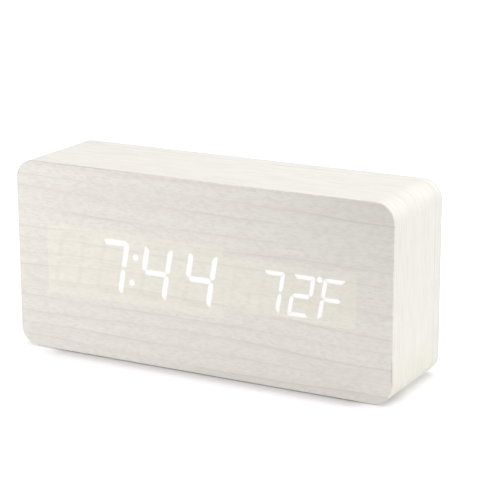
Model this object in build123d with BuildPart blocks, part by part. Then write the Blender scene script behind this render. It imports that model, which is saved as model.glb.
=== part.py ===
from build123d import *
import os
from dataclasses import dataclass
from math import hypot, radians, sqrt, tan

# Digital desk clock: a wood-board block wrapped in printed wood film, with two seven-segment
# light modules behind the front sheet and a moulded cover let into the back.
# Millimetres. X runs across the front, the front faces -Y, and z = 0 is what it stands on.

# Case
clock_width = 150.0
clock_height = 70.0
clock_depth = 40.0
corner_radius = 7.0
front_sheet_thickness = 0.6
rear_sheet_thickness = 0.6
wrap_thickness = 0.6
sheet_edge_round = 0.2
wrap_edge_chamfer = 0.15
wrap_seam_gap = 0.15
wrap_seam_inset = 6.0
cut_overrun = 1.0

# Wood-board core
rear_border_share = 0.1
ledge_width = 3.0
rebate_corner_radius = 4.0
cavity_corner_radius = 3.0
corner_pad = 9.0

# Display modules
display_shift = -0.4
display_drop = 0.4
case_seam = 0.2
case_window_gap = 0.2
case_depth = 7.0
module_base_thickness = 1.0
module_base_inset = 0.3
digit_slant = 10.0
die_size = 0.8
die_height = 0.4
die_gap = 0.1

time_case_share = 0.4867
time_case_height = 25.8
time_digit_shift = 0.2
time_digit_drop = 0.1
time_pitch_share = 0.2466
time_width_share = 0.5333
time_height_share = 0.79
time_stroke_share = 0.096
time_segment_gap = 0.4
time_segment_round = 0.55
colon_diameter_share = 0.11
colon_rise_share = 0.2325

temperature_case_share = 0.3387
temperature_case_height = 19.0
temperature_digit_shift = -1.0
temperature_digit_drop = 0.45
temperature_pitch_share = 0.2264
temperature_width_share = 0.6
temperature_height_share = 0.79
temperature_stroke_share = 0.098
temperature_segment_gap = 0.3
temperature_segment_round = 0.12
degree_diameter_share = 0.1826
degree_rise_share = 0.446

# Display board, its pins and screws
board_thickness = 1.6
board_edge_gap = 0.5
pin_diameter = 0.6
pin_pitch = 2.54
pins_per_row = 6
pin_row_inset = 1.6
pin_tail = 1.4
pin_hole_gap = 0.05
display_screw_inset = 4.0
display_screw_side_inset = 5.0
display_screw_grip = 3.6

# Screws
board_screw_diameter = 2.0
board_screw_head_diameter = 3.8
board_screw_head_height = 1.4
board_screw_grip = 5.0
cover_screw_diameter = 2.6
cover_screw_head_diameter = 5.0
cover_screw_head_height = 1.2
cover_screw_length = 11.0
screw_gap = 0.1
pilot_gap = 0.05
pilot_end_gap = 0.6
cross_width = 0.7
cross_depth = 0.7
cross_span_share = 0.55

# Rear cover
cover_recess = 1.2
cover_thickness = 2.0
cover_gap = 0.25
cover_edge_round = 0.4
boss_diameter = 5.0
boss_inset = 4.0

# Battery cells and their well
cell_count = 3
cell_diameter = 10.5
cell_length = 44.5
cell_nub_diameter = 3.8
cell_nub_length = 0.9
cell_edge_round = 0.5
cell_gap = 0.3
cell_floor_gap = 0.1
cell_headroom = 0.4
contact_thickness = 0.4
contact_width = 8.0
contact_height = 8.0
terminal_tab_width = 2.6
terminal_tab_reach = 1.4
terminal_tab_drop = 3.6
terminal_slot_gap = 0.1
spring_length = 4.6
spring_wire = 0.5
spring_base_radius = 3.4
spring_tip_radius = 1.9
spring_half_turns = 6
well_wall = 1.6
well_floor = 1.5
seat_width = 1.8
flange_width = 2.0
flange_thickness = 1.8
flange_side_gap = 0.5
cradle_height = 2.2
cradle_width = 1.2

# Battery door
door_thickness = 1.8
door_gap = 0.2
door_edge_round = 0.25
tongue_count = 2
tongue_width = 6.0
tongue_spacing = 18.0
tongue_reach = 1.4
tongue_thickness = 0.8
tongue_gap = 0.15
latch_width = 9.0
latch_slit_width = 0.8
latch_slit_length = 8.0
latch_lip_reach = 0.9
latch_lip_thickness = 0.7
latch_scoop_radius = 5.0
latch_scoop_depth = 1.3
grip_rib_count = 4
grip_rib_width = 0.7
grip_rib_height = 0.35
grip_rib_pitch = 1.6

# Buttons and push switches
button_pitch_share = 0.2424
button_drop = 11.5
button_diameter_share = 0.5
button_gap = 0.25
button_proud = 0.8
button_top_round = 0.5
button_flange_share = 0.7
button_flange_thickness = 1.2
button_stem_share = 0.5
button_stem_length = 1.2
button_play = 0.1
button_travel = 0.5
button_recess_depth = 0.4
button_recess_margin = 2.2
switch_size_share = 0.47
switch_height = 3.6
switch_corner_chamfer = 0.5
plunger_diameter_share = 0.57
plunger_height = 1.4
plunger_root = 0.7
plunger_gap = 0.15
plunger_stem_gap = 0.05
plunger_floor_gap = 0.2

# Control board and what it carries
control_board_inset = 2.5
control_board_side_gap = 0.7
lower_row_rise = 11.0
jack_place_share = 0.25
jack_body_width = 8.0
jack_body_gap = 0.1
jack_nose_diameter = 6.2
jack_nose_gap = 0.2
jack_nose_setback = 0.1
jack_bore_diameter = 3.8
jack_bore_depth = 8.0
jack_pin_diameter = 1.3
jack_pin_setback = 1.2
buzzer_place_share = 0.265
buzzer_diameter_share = 0.227
buzzer_headroom = 0.7
buzzer_port_diameter = 2.0
buzzer_port_depth = 1.0
sound_hole_share = 0.108
sound_hole_count = 6
sound_ring_share = 0.25
thermistor_bead_diameter = 2.6
thermistor_bead_length = 2.8
thermistor_bead_round = 0.8
thermistor_rise = 3.4
thermistor_lead_diameter = 0.5
thermistor_lead_spacing = 1.2
vent_count = 5
vent_width_share = 0.5
vent_length = 7.0
vent_pitch_share = 0.0455
chip_width = 7.5
chip_height = 2.2
chip_standoff = 0.15
chip_leg_pitch = 1.27
chip_leg_width = 0.45
chip_leg_reach = 1.3
chip_leg_thickness = 0.25
chip_end_margin = 1.2
main_chip_leg_count = 14
driver_chip_leg_count = 12
chip_offset = 11.4
crystal_diameter = 3.0
crystal_length = 8.0
crystal_end_round = 0.4
crystal_offset = 5.0
crystal_rise = 4.5
capacitor_diameter = 6.3
capacitor_height = 7.7
capacitor_top_round = 0.5
capacitor_place_share = 0.15

# Ribbon cable and its sockets
socket_length = 12.0
socket_width = 5.0
socket_height_share = 0.285
socket_slot_gap = 0.2
socket_slot_depth = 2.5
ribbon_width = 10.0
ribbon_thickness = 1.0
ribbon_offset = 16.0
ribbon_bend_share = 0.8

# Battery leads
lead_diameter = 1.2
lead_clearance = 0.5
lead_pad_inset = 3.6
lead_pad_spacing = 6.0
lead_bend_share = 0.45
lead_bend_limit = 2.0

# Depths through the clock, from the front face back
front_y = -clock_depth / 2
sheet_back_y = front_y + front_sheet_thickness
case_back_y = sheet_back_y + case_depth
web_back_y = case_back_y + module_base_thickness
display_board_back_y = web_back_y + board_thickness
rear_y = clock_depth / 2
core_rear_y = rear_y - rear_sheet_thickness
cover_outer_y = rear_y - cover_recess
cover_inner_y = cover_outer_y - cover_thickness
flange_rear_y = cover_inner_y - button_play
flange_front_y = flange_rear_y - button_flange_thickness
plunger_top_y = flange_front_y - button_stem_length - plunger_stem_gap
switch_top_y = plunger_top_y - plunger_height
board_rear_y = switch_top_y - switch_height
board_front_y = board_rear_y - board_thickness
seat_y = cover_outer_y - door_thickness
cell_y = seat_y - cell_headroom - cell_diameter / 2
well_floor_y = cell_y - cell_diameter / 2 - cell_floor_gap

# Core and cavity outlines
mid_z = clock_height / 2
display_z = mid_z - display_drop
core_width = clock_width - 2 * wrap_thickness
core_height = clock_height - 2 * wrap_thickness
core_radius = corner_radius - wrap_thickness
rear_border = clock_height * rear_border_share
rebate_width = clock_width - 2 * rear_border
rebate_height = clock_height - 2 * rear_border
cavity_width = rebate_width - 2 * ledge_width
cavity_height = rebate_height - 2 * ledge_width
cover_screw_x = (cavity_width - corner_pad) / 2
cover_screw_z = (cavity_height - corner_pad) / 2
cover_screw_points = [(x, mid_z + z) for x in (-cover_screw_x, cover_screw_x)
                      for z in (-cover_screw_z, cover_screw_z)]
display_screw_x = cavity_width / 2 - corner_pad - display_screw_side_inset
display_screw_z = cavity_height / 2 - display_screw_inset
display_screw_points = [(x, mid_z + z) for x in (-display_screw_x, display_screw_x)
                        for z in (-display_screw_z, display_screw_z)]

# Battery well: cells lie along X, side by side up the back
well_length = cell_length + spring_length + 2 * contact_thickness
well_height = cell_count * cell_diameter + (cell_count + 1) * cell_gap
opening_width = well_length + 2 * seat_width
opening_height = well_height + 2 * seat_width
well_x = cavity_width / 2 - corner_pad - flange_side_gap - flange_width - opening_width / 2
well_inner_end = well_x - well_length / 2
well_outer_end = well_x + well_length / 2
cell_pitch = cell_diameter + cell_gap
cell_heights = [mid_z + cell_pitch * ((cell_count - 1) / 2 - k) for k in range(cell_count)]
hinge_x = well_x + opening_width / 2
latch_x = well_x - opening_width / 2

# Control board beside the well
board_left = -cavity_width / 2 + corner_pad + board_edge_gap
board_right = well_x - opening_width / 2 - flange_width - control_board_side_gap
board_x = (board_left + board_right) / 2
board_width = board_right - board_left
board_height = cavity_height - 2 * control_board_inset
board_top = mid_z + board_height / 2
board_bottom = mid_z - board_height / 2
boss_points = [(x, z) for x in (board_left + boss_inset, board_right - boss_inset)
               for z in (board_bottom + boss_inset, board_top - boss_inset)]
button_pitch = board_width * button_pitch_share
button_diameter = button_pitch * button_diameter_share
button_flange_diameter = button_pitch * button_flange_share
switch_size = button_pitch * switch_size_share
plunger_diameter = switch_size * plunger_diameter_share
button_stem_diameter = switch_size * button_stem_share
button_z = board_top - button_drop
button_places = {"set": board_x + button_pitch, "up": board_x, "down": board_x - button_pitch}
lower_row_z = board_bottom + lower_row_rise
jack_point = (board_left + board_width * jack_place_share, lower_row_z)
thermistor_point = (board_x, lower_row_z)
vent_pitch = board_width * vent_pitch_share
vent_width = vent_pitch * vent_width_share
buzzer_point = (board_right - board_width * buzzer_place_share, lower_row_z)
buzzer_diameter = board_width * buzzer_diameter_share
sound_ring_radius = buzzer_diameter * sound_ring_share
sound_hole_diameter = buzzer_diameter * sound_hole_share
socket_x = board_x + ribbon_offset


@dataclass
class Display:
    """One light module: its case, its digits from left to right and its lit dots."""

    centre: float
    case_width: float
    case_height: float
    digit_shift: float
    digit_drop: float
    pitch: float
    digit_width: float
    digit_height: float
    stroke: float
    gap: float
    rounding: float
    glyphs: tuple
    dots: list
    dot_diameter: float

    def digit_centres(self):
        middle = (len(self.glyphs) - 1) / 2
        return [self.centre + self.digit_shift + self.pitch * (k - middle)
                for k in range(len(self.glyphs))]


time_case_width = clock_width * time_case_share
time_digit_pitch = time_case_width * time_pitch_share
time_digit_height = time_case_height * time_height_share
temperature_case_width = clock_width * temperature_case_share
temperature_digit_pitch = temperature_case_width * temperature_pitch_share
temperature_digit_height = temperature_case_height * temperature_height_share
pair_width = time_case_width + case_seam + temperature_case_width
pair_left = display_shift - pair_width / 2
time_display = Display(
    pair_left + time_case_width / 2, time_case_width, time_case_height, time_digit_shift,
    time_digit_drop, time_digit_pitch, time_digit_pitch * time_width_share, time_digit_height,
    time_digit_height * time_stroke_share, time_segment_gap, time_segment_round,
    ("", "abc", "bcfg", "bcfg"),
    [(0, time_digit_height * colon_rise_share), (0, -time_digit_height * colon_rise_share)],
    time_digit_height * colon_diameter_share)
temperature_display = Display(
    pair_left + pair_width - temperature_case_width / 2, temperature_case_width,
    temperature_case_height, temperature_digit_shift, temperature_digit_drop,
    temperature_digit_pitch, temperature_digit_pitch * temperature_width_share, temperature_digit_height,
    temperature_digit_height * temperature_stroke_share, temperature_segment_gap,
    temperature_segment_round, ("", "abc", "abdeg", "aefg"),
    [(temperature_digit_pitch, temperature_digit_height * degree_rise_share)],
    temperature_digit_pitch * degree_diameter_share)
displays = (time_display, temperature_display)

# A segment runs between two corners of the figure eight. Its third value says which side
# faces out of the figure: 1 is left of the run, -1 is right, and 0 is the middle bar.
corner_shares = {"top_left": (-1, 1), "top_right": (1, 1), "mid_left": (-1, 0),
                 "mid_right": (1, 0), "low_left": (-1, -1), "low_right": (1, -1)}
segments = {"a": ("top_left", "top_right", 1), "b": ("mid_right", "top_right", -1),
            "c": ("low_right", "mid_right", -1), "d": ("low_left", "low_right", -1),
            "e": ("low_left", "mid_left", 1), "f": ("mid_left", "top_left", 1),
            "g": ("mid_left", "mid_right", 0)}


def at_depth(y):
    """Plane square to the depth: sketch x is X, sketch y is Z, and extrudes run to the front."""
    return Plane.XZ.offset(-y)


def spots(y, points):
    """Places on the plane at a depth, each with its axis running to the front."""
    return Locations(*[at_depth(y) * Pos(x, z) for x, z in points])


def slanted(display, across, up):
    """A point of a module's digit, leaned over by the slant, as X and Z."""
    return (across + up * tan(radians(digit_slant)), display_z - display.digit_drop + up)


def segment_corners(display, name):
    """The two corners of the figure eight that a segment runs between."""
    half_width = display.digit_width / 2
    half_height = (display.digit_height - display.stroke) / 2
    return [Vector(corner_shares[key][0] * half_width, corner_shares[key][1] * half_height)
            for key in segments[name][:2]]


def segment_outline(display, name):
    """Mitred outline of a segment, drawn in by the rounding that the sketch adds back."""
    start, end = segment_corners(display, name)
    outer_side = segments[name][2]
    run = (end - start).normalized()
    left = Vector(-run.Y, run.X)
    length = (end - start).length
    half = display.stroke / 2 - display.rounding
    nip = (display.gap / 2 + display.rounding) * sqrt(2)
    starts_at_corner = "mid" not in segments[name][0]
    ends_at_corner = "mid" not in segments[name][1]

    def along(side, at_corner):
        return nip - half if at_corner and side == outer_side else nip + half

    flat = [] if starts_at_corner else [(nip, 0)]
    flat += [(along(1, starts_at_corner), half), (length - along(1, ends_at_corner), half)]
    flat += [] if ends_at_corner else [(length - nip, 0)]
    flat += [(length - along(-1, ends_at_corner), -half), (along(-1, starts_at_corner), -half)]
    return [start + run * distance + left * aside for distance, aside in flat]


def draw_segments(display, lit):
    """Draws a module's lit strokes and dots, or its unlit strokes, in the open sketch."""
    strokes = []
    for centre, glyph in zip(display.digit_centres(), display.glyphs):
        for name in segments:
            if (name in glyph) == lit:
                outline = [slanted(display, point.X, point.Y)
                           for point in segment_outline(display, name)]
                corners = [(centre + x, z) for x, z in outline]
                strokes.append(Polygon(*corners, align=None, mode=Mode.PRIVATE))
    offset(strokes, amount=display.rounding, kind=Kind.ARC, mode=Mode.ADD)
    if lit:
        with Locations(*dot_places(display)):
            Circle(display.dot_diameter / 2)


def dot_places(display):
    """Middles of a module's lit dots."""
    leaned = [slanted(display, across, up) for across, up in display.dots]
    return [(display.centre + display.digit_shift + x, z) for x, z in leaned]


def die_places(display):
    """Middles of all segments and dots, where the dies sit."""
    places = dot_places(display)
    for centre in display.digit_centres():
        for name in segments:
            start, end = segment_corners(display, name)
            x, z = slanted(display, (start.X + end.X) / 2, (start.Y + end.Y) / 2)
            places.append((centre + x, z))
    return places


def pin_places(display):
    """Two rows of pins behind a module."""
    row = display.case_height / 2 - pin_row_inset
    middle = (pins_per_row - 1) / 2
    return [(display.centre + pin_pitch * (k - middle), display_z + up)
            for up in (-row, row) for k in range(pins_per_row)]


def cavity_outline(inset):
    """Cross-shaped outline that the corner pads leave, drawn in by an inset."""
    long_side = cavity_width - 2 * inset
    short_side = cavity_width - 2 * corner_pad - 2 * inset
    tall_side = cavity_height - 2 * inset
    low_side = cavity_height - 2 * corner_pad - 2 * inset
    with Locations((0, mid_z)):
        RectangleRounded(long_side, low_side, cavity_corner_radius - inset)
        RectangleRounded(short_side, tall_side, cavity_corner_radius - inset)


def cross_cuts(y, points, head_diameter):
    """Cuts a cross recess into each screw head that shows its top at a depth."""
    span = head_diameter * cross_span_share
    with BuildSketch(at_depth(y)) as recess:
        with Locations(*points):
            Rectangle(span, cross_width)
            Rectangle(cross_width, span)
    extrude(recess.sketch, amount=cross_depth, mode=Mode.SUBTRACT)


# Outlines of the lit and unlit segments, drawn once for the sheet, the cases and the guides
with BuildSketch() as time_lit:
    draw_segments(time_display, True)
with BuildSketch() as time_unlit:
    draw_segments(time_display, False)
with BuildSketch() as temperature_lit:
    draw_segments(temperature_display, True)
with BuildSketch() as temperature_unlit:
    draw_segments(temperature_display, False)
modules = {"time": (time_display, {"lit": time_lit, "unlit": time_unlit}),
           "temperature": (temperature_display, {"lit": temperature_lit, "unlit": temperature_unlit})}

pieces = {}

# Core: milled from the back, with pads left in the corners and one window for both modules
with BuildPart() as core_frame:
    with BuildSketch(at_depth(core_rear_y)):
        with Locations((0, mid_z)):
            RectangleRounded(core_width, core_height, core_radius)
    extrude(amount=core_rear_y - sheet_back_y)
    with BuildSketch(at_depth(core_rear_y)):
        cavity_outline(0)
    extrude(amount=core_rear_y - web_back_y, mode=Mode.SUBTRACT)
    with BuildSketch(at_depth(core_rear_y)):
        with Locations((0, mid_z)):
            RectangleRounded(rebate_width, rebate_height, rebate_corner_radius)
    extrude(amount=core_rear_y - cover_inner_y, mode=Mode.SUBTRACT)
    with BuildSketch(at_depth(web_back_y)):
        for display in displays:
            with Locations((display.centre, display_z)):
                Rectangle(display.case_width + 2 * case_window_gap,
                          display.case_height + 2 * case_window_gap)
    extrude(amount=web_back_y - sheet_back_y, mode=Mode.SUBTRACT)
    with BuildSketch(at_depth(cover_inner_y)):
        with Locations(*cover_screw_points):
            Circle(cover_screw_diameter / 2 + pilot_gap)
    extrude(amount=cover_screw_length - cover_thickness + pilot_end_gap, mode=Mode.SUBTRACT)
    with BuildSketch(at_depth(web_back_y)):
        with Locations(*display_screw_points):
            Circle(board_screw_diameter / 2 + pilot_gap)
    extrude(amount=display_screw_grip + pilot_end_gap, mode=Mode.SUBTRACT)
pieces["core_frame"] = core_frame

# Front sheet with a window for each segment
with BuildPart() as front_sheet:
    with BuildSketch(at_depth(sheet_back_y)):
        with Locations((0, mid_z)):
            RectangleRounded(clock_width, clock_height, corner_radius)
    extrude(amount=front_sheet_thickness)
    fillet(front_sheet.faces().sort_by(Axis.Y)[0].edges(), sheet_edge_round)
    with BuildSketch(at_depth(sheet_back_y)):
        for display, outlines in modules.values():
            add([outline.sketch for outline in outlines.values()])
    extrude(amount=front_sheet_thickness, mode=Mode.SUBTRACT)
pieces["front_sheet"] = front_sheet

# Film wrapped round the edge, with its ends butted on the underside
with BuildPart() as edge_wrap:
    with BuildSketch(at_depth(core_rear_y)):
        with Locations((0, mid_z)):
            RectangleRounded(clock_width, clock_height, corner_radius)
    extrude(amount=core_rear_y - sheet_back_y)
    rims = edge_wrap.faces().filter_by(Axis.Y).edges()
    chamfer(rims, wrap_edge_chamfer)
    with BuildSketch(at_depth(core_rear_y)):
        with Locations((0, mid_z)):
            RectangleRounded(core_width, core_height, core_radius)
        with Locations((corner_radius + wrap_seam_inset - clock_width / 2, 0)):
            Rectangle(wrap_seam_gap, 2 * corner_radius)
    extrude(amount=core_rear_y - sheet_back_y, mode=Mode.SUBTRACT)
pieces["edge_wrap"] = edge_wrap

# Sheet on the back border
with BuildPart() as rear_sheet:
    with BuildSketch(at_depth(rear_y)):
        with Locations((0, mid_z)):
            RectangleRounded(clock_width, clock_height, corner_radius)
            RectangleRounded(rebate_width, rebate_height, rebate_corner_radius, mode=Mode.SUBTRACT)
    extrude(amount=rear_sheet_thickness)
    rim = rear_sheet.faces().sort_by(Axis.Y)[-1].outer_wire().edges()
    fillet(rim, sheet_edge_round)
pieces["rear_sheet"] = rear_sheet

# Light modules: case, back plate, and the lit and unlit segments that fill the case
for name, (display, outlines) in modules.items():
    with BuildPart() as display_case:
        with BuildSketch(at_depth(case_back_y)):
            with Locations((display.centre, display_z)):
                Rectangle(display.case_width, display.case_height)
        extrude(amount=case_depth)
        with BuildSketch(at_depth(case_back_y)):
            add([outline.sketch for outline in outlines.values()])
        extrude(amount=case_depth, mode=Mode.SUBTRACT)
    pieces[f"{name}_display_case"] = display_case

    with BuildPart() as display_base:
        with BuildSketch(at_depth(web_back_y)):
            with Locations((display.centre, display_z)):
                Rectangle(display.case_width - 2 * module_base_inset,
                          display.case_height - 2 * module_base_inset)
        extrude(amount=module_base_thickness)
    pieces[f"{name}_display_base"] = display_base

    guide_back_y = case_back_y - die_height - die_gap
    for state, outline in outlines.items():
        with BuildPart() as light_guides:
            with BuildSketch(at_depth(guide_back_y)):
                add(outline.sketch)
            extrude(amount=guide_back_y - front_y)
        pieces[f"{name}_{state}_segments"] = light_guides

with BuildPart() as led_dies:
    with BuildSketch(at_depth(case_back_y)):
        for display in displays:
            with Locations(*die_places(display)):
                Rectangle(die_size, die_size)
    extrude(amount=die_height)
pieces["led_dies"] = led_dies

with BuildPart() as display_pins:
    with BuildSketch(at_depth(display_board_back_y + pin_tail)):
        for display in displays:
            with Locations(*pin_places(display)):
                Circle(pin_diameter / 2)
    extrude(amount=board_thickness + pin_tail)
pieces["display_pins"] = display_pins

with BuildPart() as display_board:
    with BuildSketch(at_depth(display_board_back_y)):
        cavity_outline(board_edge_gap)
        with Locations(*display_screw_points):
            Circle(board_screw_diameter / 2 + screw_gap, mode=Mode.SUBTRACT)
        for display in displays:
            with Locations(*pin_places(display)):
                Circle(pin_diameter / 2 + pin_hole_gap, mode=Mode.SUBTRACT)
    extrude(amount=board_thickness)
pieces["display_board"] = display_board

with BuildPart() as display_screws:
    head_y = display_board_back_y + board_screw_head_height
    with spots(head_y, display_screw_points):
        Cylinder(board_screw_head_diameter / 2, board_screw_head_height,
                 align=(Align.CENTER, Align.CENTER, Align.MIN))
    with spots(display_board_back_y, display_screw_points):
        Cylinder(board_screw_diameter / 2, board_thickness + display_screw_grip,
                 align=(Align.CENTER, Align.CENTER, Align.MIN))
    cross_cuts(head_y, display_screw_points, board_screw_head_diameter)
pieces["display_screws"] = display_screws

# Rear cover: plate, battery well with its door seat, bosses, and holes for what shows
tongue_points = [(hinge_x, mid_z + tongue_spacing * (k - (tongue_count - 1) / 2))
                 for k in range(tongue_count)]
tongue_rim = door_thickness - tongue_thickness - tongue_gap
tongue_sweep = hypot(tongue_reach, door_thickness) + tongue_gap
with BuildPart() as rear_cover:
    with BuildSketch(at_depth(cover_outer_y)):
        with Locations((0, mid_z)):
            RectangleRounded(rebate_width - 2 * cover_gap, rebate_height - 2 * cover_gap,
                             rebate_corner_radius - cover_gap)
    extrude(amount=cover_thickness)
    fillet(rear_cover.faces().sort_by(Axis.Y)[-1].edges(), cover_edge_round)
    with BuildSketch(at_depth(cover_inner_y)):
        with Locations((well_x, mid_z)):
            Rectangle(opening_width + 2 * flange_width, opening_height + 2 * flange_width)
    extrude(amount=flange_thickness)
    with BuildSketch(at_depth(cover_inner_y)):
        with Locations((well_x, mid_z)):
            Rectangle(well_length + 2 * well_wall, well_height + 2 * well_wall)
    extrude(amount=cover_inner_y - well_floor_y + well_floor)
    with BuildSketch(at_depth(cover_inner_y)):
        with Locations(*boss_points):
            Circle(boss_diameter / 2)
    extrude(amount=cover_inner_y - board_rear_y)
    with BuildSketch(at_depth(cover_outer_y)):
        with Locations((well_x, mid_z)):
            Rectangle(opening_width, opening_height)
    extrude(amount=door_thickness, mode=Mode.SUBTRACT)
    with BuildSketch(at_depth(seat_y)):
        with Locations((well_x, mid_z)):
            Rectangle(well_length, well_height)
    extrude(amount=seat_y - well_floor_y, mode=Mode.SUBTRACT)
    cradle_heights = [(low + high) / 2 for low, high in zip(cell_heights, cell_heights[1:])]
    with BuildSketch(at_depth(well_floor_y + cradle_height)):
        with Locations(*[(well_x, z) for z in cradle_heights]):
            Rectangle(cell_length / 2, cradle_width)
    extrude(amount=cradle_height)
    with BuildSketch(at_depth(cover_outer_y - tongue_rim)):
        for x, z in tongue_points:
            with Locations((x + tongue_reach + tongue_gap, z)):
                Rectangle(seat_width + tongue_reach + tongue_gap, tongue_width + 2 * tongue_gap,
                          align=(Align.MAX, Align.CENTER))
    extrude(amount=tongue_sweep - tongue_rim, mode=Mode.SUBTRACT)
    with BuildSketch(at_depth(cover_outer_y)):
        with Locations((latch_x, mid_z)):
            Circle(latch_scoop_radius)
            Rectangle(2 * latch_scoop_radius, 2 * latch_scoop_radius,
                      align=(Align.MIN, Align.CENTER), mode=Mode.SUBTRACT)
    extrude(amount=latch_scoop_depth, mode=Mode.SUBTRACT)
    with BuildSketch(at_depth(cover_outer_y)):
        with Locations((board_x, button_z)):
            SlotCenterToCenter(2 * button_pitch, button_diameter + 2 * button_recess_margin)
    extrude(amount=button_recess_depth, mode=Mode.SUBTRACT)
    with BuildSketch(at_depth(cover_outer_y)):
        with Locations(*[(x, button_z) for x in button_places.values()]):
            Circle(button_diameter / 2 + button_gap)
        with Locations(jack_point):
            Circle(jack_nose_diameter / 2 + jack_nose_gap)
        with Locations(buzzer_point):
            Circle(sound_hole_diameter / 2)
            with PolarLocations(sound_ring_radius, sound_hole_count):
                Circle(sound_hole_diameter / 2)
        with Locations(thermistor_point):
            with GridLocations(vent_pitch, vent_length, vent_count, 1):
                SlotOverall(vent_length, vent_width, rotation=90)
        with Locations(*cover_screw_points):
            Circle(cover_screw_diameter / 2 + screw_gap)
    extrude(amount=cover_thickness, mode=Mode.SUBTRACT)
    with spots(cover_outer_y, cover_screw_points):
        Cone(cover_screw_head_diameter / 2 + screw_gap, cover_screw_diameter / 2 + screw_gap,
             cover_screw_head_height, align=(Align.CENTER, Align.CENTER, Align.MIN),
             mode=Mode.SUBTRACT)
    with BuildSketch(at_depth(board_rear_y)):
        with Locations(*boss_points):
            Circle(board_screw_diameter / 2 + pilot_gap)
    extrude(amount=-board_screw_grip - pilot_end_gap, mode=Mode.SUBTRACT)
    tab_y = cell_y + terminal_tab_drop / 2
    for x, z in ((well_inner_end, cell_heights[0]), (well_outer_end, cell_heights[-1])):
        with BuildSketch(at_depth(tab_y + contact_thickness / 2 + terminal_slot_gap)):
            with Locations((x, z)):
                Rectangle(2 * well_wall + cut_overrun, terminal_tab_width + 2 * terminal_slot_gap)
        extrude(amount=contact_thickness + 2 * terminal_slot_gap, mode=Mode.SUBTRACT)
pieces["rear_cover"] = rear_cover

with BuildPart() as cover_screws:
    with spots(cover_outer_y, cover_screw_points):
        Cone(cover_screw_head_diameter / 2, cover_screw_diameter / 2, cover_screw_head_height,
             align=(Align.CENTER, Align.CENTER, Align.MIN))
        Cylinder(cover_screw_diameter / 2, cover_screw_length,
                 align=(Align.CENTER, Align.CENTER, Align.MIN))
    cross_cuts(cover_outer_y, cover_screw_points, cover_screw_head_diameter)
pieces["cover_screws"] = cover_screws

# Battery door: tongues at the hinge end, and at the other a slit latch with grip ribs and a lip
door_left = latch_x + door_gap
with BuildPart() as battery_door:
    with BuildSketch(at_depth(cover_outer_y)):
        with Locations((well_x, mid_z)):
            Rectangle(opening_width - 2 * door_gap, opening_height - 2 * door_gap)
    extrude(amount=door_thickness)
    fillet(battery_door.faces().sort_by(Axis.Y)[-1].edges(), door_edge_round)
    with BuildSketch(at_depth(seat_y + tongue_thickness)):
        for x, z in tongue_points:
            with Locations((x + tongue_reach, z)):
                Rectangle(tongue_reach + door_gap + cut_overrun, tongue_width,
                          align=(Align.MAX, Align.CENTER))
    extrude(amount=tongue_thickness)
    with BuildSketch(at_depth(cover_outer_y)):
        with Locations((door_left - latch_lip_reach, mid_z)):
            Rectangle(latch_lip_reach + cut_overrun, latch_width - 2 * latch_slit_width,
                      align=(Align.MIN, Align.CENTER))
    extrude(amount=latch_lip_thickness)
    with BuildSketch(at_depth(cover_outer_y)):
        for side in (-1, 1):
            with Locations((door_left, mid_z + side * (latch_width - latch_slit_width) / 2)):
                Rectangle(2 * latch_slit_length, latch_slit_width)
    extrude(amount=door_thickness, mode=Mode.SUBTRACT)
    with BuildSketch(at_depth(cover_outer_y + grip_rib_height)):
        with Locations((door_left + latch_slit_length / 2, mid_z)):
            with GridLocations(grip_rib_pitch, latch_width, grip_rib_count, 1):
                Rectangle(grip_rib_width, latch_width - 4 * latch_slit_width)
    extrude(amount=2 * grip_rib_height)
pieces["battery_door"] = battery_door

# Cells in series, turned end for end, with a coned spring at each flat end
def cell_plane(k):
    """Plane at a cell's nub, with its normal along the cell to the flat end."""
    inward = k % 2 == 0
    x = well_inner_end + contact_thickness if inward else well_outer_end - contact_thickness
    return Plane(origin=(x, cell_y, cell_heights[k]), x_dir=(0, 1, 0),
                 z_dir=(1 if inward else -1, 0, 0))


with BuildPart() as aaa_cells:
    for k in range(cell_count):
        with BuildSketch(cell_plane(k)):
            Circle(cell_nub_diameter / 2)
        extrude(amount=2 * cell_nub_length)
        with BuildSketch(cell_plane(k).offset(cell_nub_length)):
            Circle(cell_diameter / 2)
        extrude(amount=cell_length - cell_nub_length)
    rims = aaa_cells.edges().filter_by(GeomType.CIRCLE)
    rims = rims.filter_by(lambda edge: edge.radius > cell_nub_diameter)
    fillet(rims, cell_edge_round)
pieces["aaa_cells"] = aaa_cells


def coil_point(j):
    """Where the wire crosses the coil's own x axis, each half turn on the other side."""
    rise = spring_length - spring_wire
    lift = min(max(j - 1, 0), spring_half_turns - 2) / (spring_half_turns - 2)
    radius = spring_base_radius + (spring_tip_radius - spring_base_radius) * j / spring_half_turns
    return Vector(radius * (-1) ** j, 0, spring_wire / 2 + rise * lift)


def coil_arc_points(j):
    """Start, middle and end of a half turn, in the coil's own plane."""
    start, end = coil_point(j), coil_point(j + 1)
    swing = (end - start).length / 2 * (-1) ** j
    middle = (start + end) / 2 + Vector(0, swing, 0)
    return tuple(start), tuple(middle), tuple(end)


with BuildPart() as cell_springs:
    for k in range(cell_count):
        flat_end = cell_plane(k).offset(cell_length + spring_length)
        coil_plane = Plane(origin=flat_end.origin, x_dir=flat_end.x_dir, z_dir=-flat_end.z_dir)
        with BuildLine(coil_plane) as coil:
            for j in range(spring_half_turns):
                ThreePointArc(*coil_arc_points(j))
        with BuildSketch(Plane(origin=coil.line @ 0, z_dir=coil.line % 0)):
            Circle(spring_wire / 2)
        sweep()
pieces["cell_springs"] = cell_springs

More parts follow.
